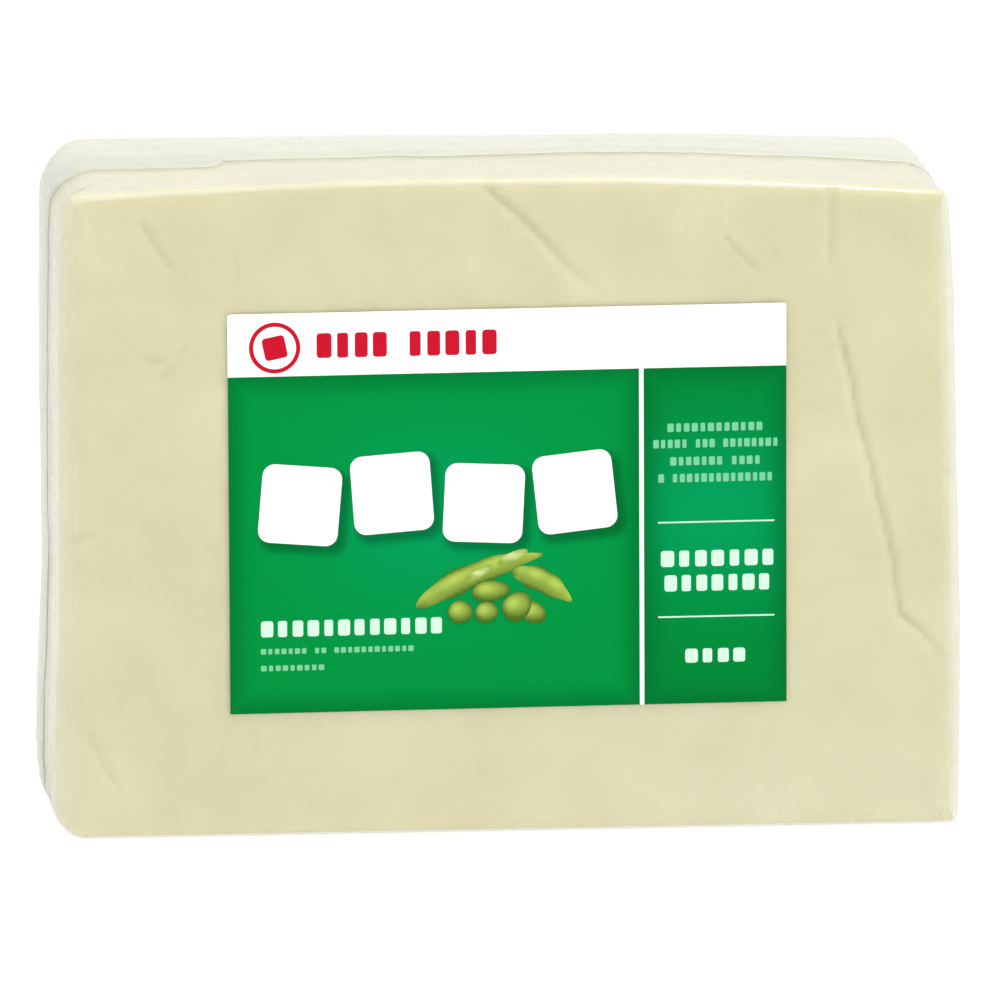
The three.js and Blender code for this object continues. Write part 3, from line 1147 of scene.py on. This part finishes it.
def joined(layers):
    """The points, faces and colours of all the layers as one mesh."""
    all_points, all_faces, all_colours, count = [], [], [], 0
    for points, faces, colours in layers:
        all_points.append(points)
        all_faces.extend([tuple(index + count for index in face) for face in faces])
        all_colours.append(colours)
        count += len(points)
    return np.concatenate(all_points), all_faces, np.concatenate(all_colours)


def build_label():
    small = header_inks() + cube_inks() + bean_inks() + caption_inks() + side_text_inks()
    layers = [sheet_layer()] + ink_layers(panel_inks()) + ink_layers(small)
    points, faces, colours = joined(layers)
    label = make_piece("label_print", points, faces, print_material(), False)
    ink = label.data.color_attributes.new("ink", "FLOAT_COLOR", "POINT")
    ink.data.foreach_set("color", np.column_stack([colours, np.ones(len(points))]).ravel())
    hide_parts("label")


# ---------------- stage, lights, camera

# From here on, lengths are in metres.
FLOOR_HALF = 4.0
FLOOR_GREY = 0.42
FLOOR_GLOW = 0.68  # lifts the floor to the white of a cut-out background
WORLD_GLOW = 1.05
SOFTBOX_PLACE = (0.28, -0.22, 0.93)
SOFTBOX_WIDE = 0.3
SOFTBOX_GLOW = 12.5  # times as bright as a white page in the studio

CAMERA_AZIMUTH = math.radians(-5.5)
CAMERA_ELEVATION = math.radians(11.0)
CAMERA_ROLL = math.radians(0.1)
CAMERA_DISTANCE = 2.0
CAMERA_LENS = 509.184  # millimetres
SENSOR_WIDE = 36  # millimetres
AIM_RIGHT = 0.0004  # how far from the block's middle the camera aims
AIM_UP = -0.0021
BLOCK_MIDDLE = Vector((0, 0, HALF[2] * MM))


def floor_material():
    material, tree = new_material("pale_floor")
    grey = add_node(tree, "BsdfDiffuse", {"Color": (FLOOR_GREY, FLOOR_GREY, FLOOR_GREY, 1)})
    glow = add_node(tree, "Emission", {"Color": (1, 1, 1, 1), "Strength": FLOOR_GLOW})
    both = add_node(tree, "AddShader", {0: grey.outputs["BSDF"], 1: glow.outputs["Emission"]})
    add_node(tree, "OutputMaterial", {"Surface": both.outputs["Shader"]})
    material.cycles.emission_sampling = "NONE"
    return material


def build_floor():
    corners = rectangle((-FLOOR_HALF, -FLOOR_HALF), (FLOOR_HALF, FLOOR_HALF))
    mesh = bpy.data.meshes.new("floor")
    mesh.from_pydata([(x, y, 0) for x, y in corners], [], [(0, 1, 2, 3)])
    mesh.materials.append(floor_material())
    floor = bpy.data.objects.new("floor", mesh)
    bpy.context.scene.collection.objects.link(floor)


def build_world():
    world = bpy.data.worlds.new("studio")
    world.use_nodes = True
    background = world.node_tree.nodes["Background"]
    background.inputs["Color"].default_value = (1, 1, 1, 1)
    background.inputs["Strength"].default_value = WORLD_GLOW
    bpy.context.scene.world = world


def build_softbox():
    light = bpy.data.lights.new("softbox_top", "AREA")
    light.shape = "RECTANGLE"
    light.size = SOFTBOX_WIDE
    light.size_y = SOFTBOX_WIDE
    light.energy = SOFTBOX_GLOW * math.pi * SOFTBOX_WIDE * SOFTBOX_WIDE
    lamp = bpy.data.objects.new("softbox_top", light)
    lamp.location = SOFTBOX_PLACE
    towards = BLOCK_MIDDLE - Vector(SOFTBOX_PLACE)
    lamp.rotation_euler = towards.to_track_quat("-Z", "Y").to_euler()
    lamp.visible_camera = False
    bpy.context.scene.collection.objects.link(lamp)


def build_camera():
    a, e = CAMERA_AZIMUTH, CAMERA_ELEVATION
    back = Vector((math.sin(a) * math.cos(e), -math.cos(a) * math.cos(e), math.sin(e)))
    right = Vector((math.cos(a), math.sin(a), 0))
    up = back.cross(right)
    target = BLOCK_MIDDLE + AIM_RIGHT * right + AIM_UP * up
    camera = bpy.data.cameras.new("camera")
    camera.sensor_width = SENSOR_WIDE
    camera.lens = CAMERA_LENS
    camera.clip_start = 0.05
    camera.clip_end = 30
    eye = bpy.data.objects.new("camera", camera)
    eye.location = target + back * CAMERA_DISTANCE
    eye.rotation_euler = back.to_track_quat("Z", "Y").to_euler()
    eye.rotation_euler.rotate_axis("Z", CAMERA_ROLL)
    bpy.context.scene.collection.objects.link(eye)
    bpy.context.scene.camera = eye


# ---------------- the scene

build_camera()
build_tofu()
build_film()
sealed = rim_material()
build_rim(sealed)
build_flap(sealed)
build_label()
build_floor()
build_world()
build_softbox()
bpy.context.scene.view_settings.view_transform = "Standard"
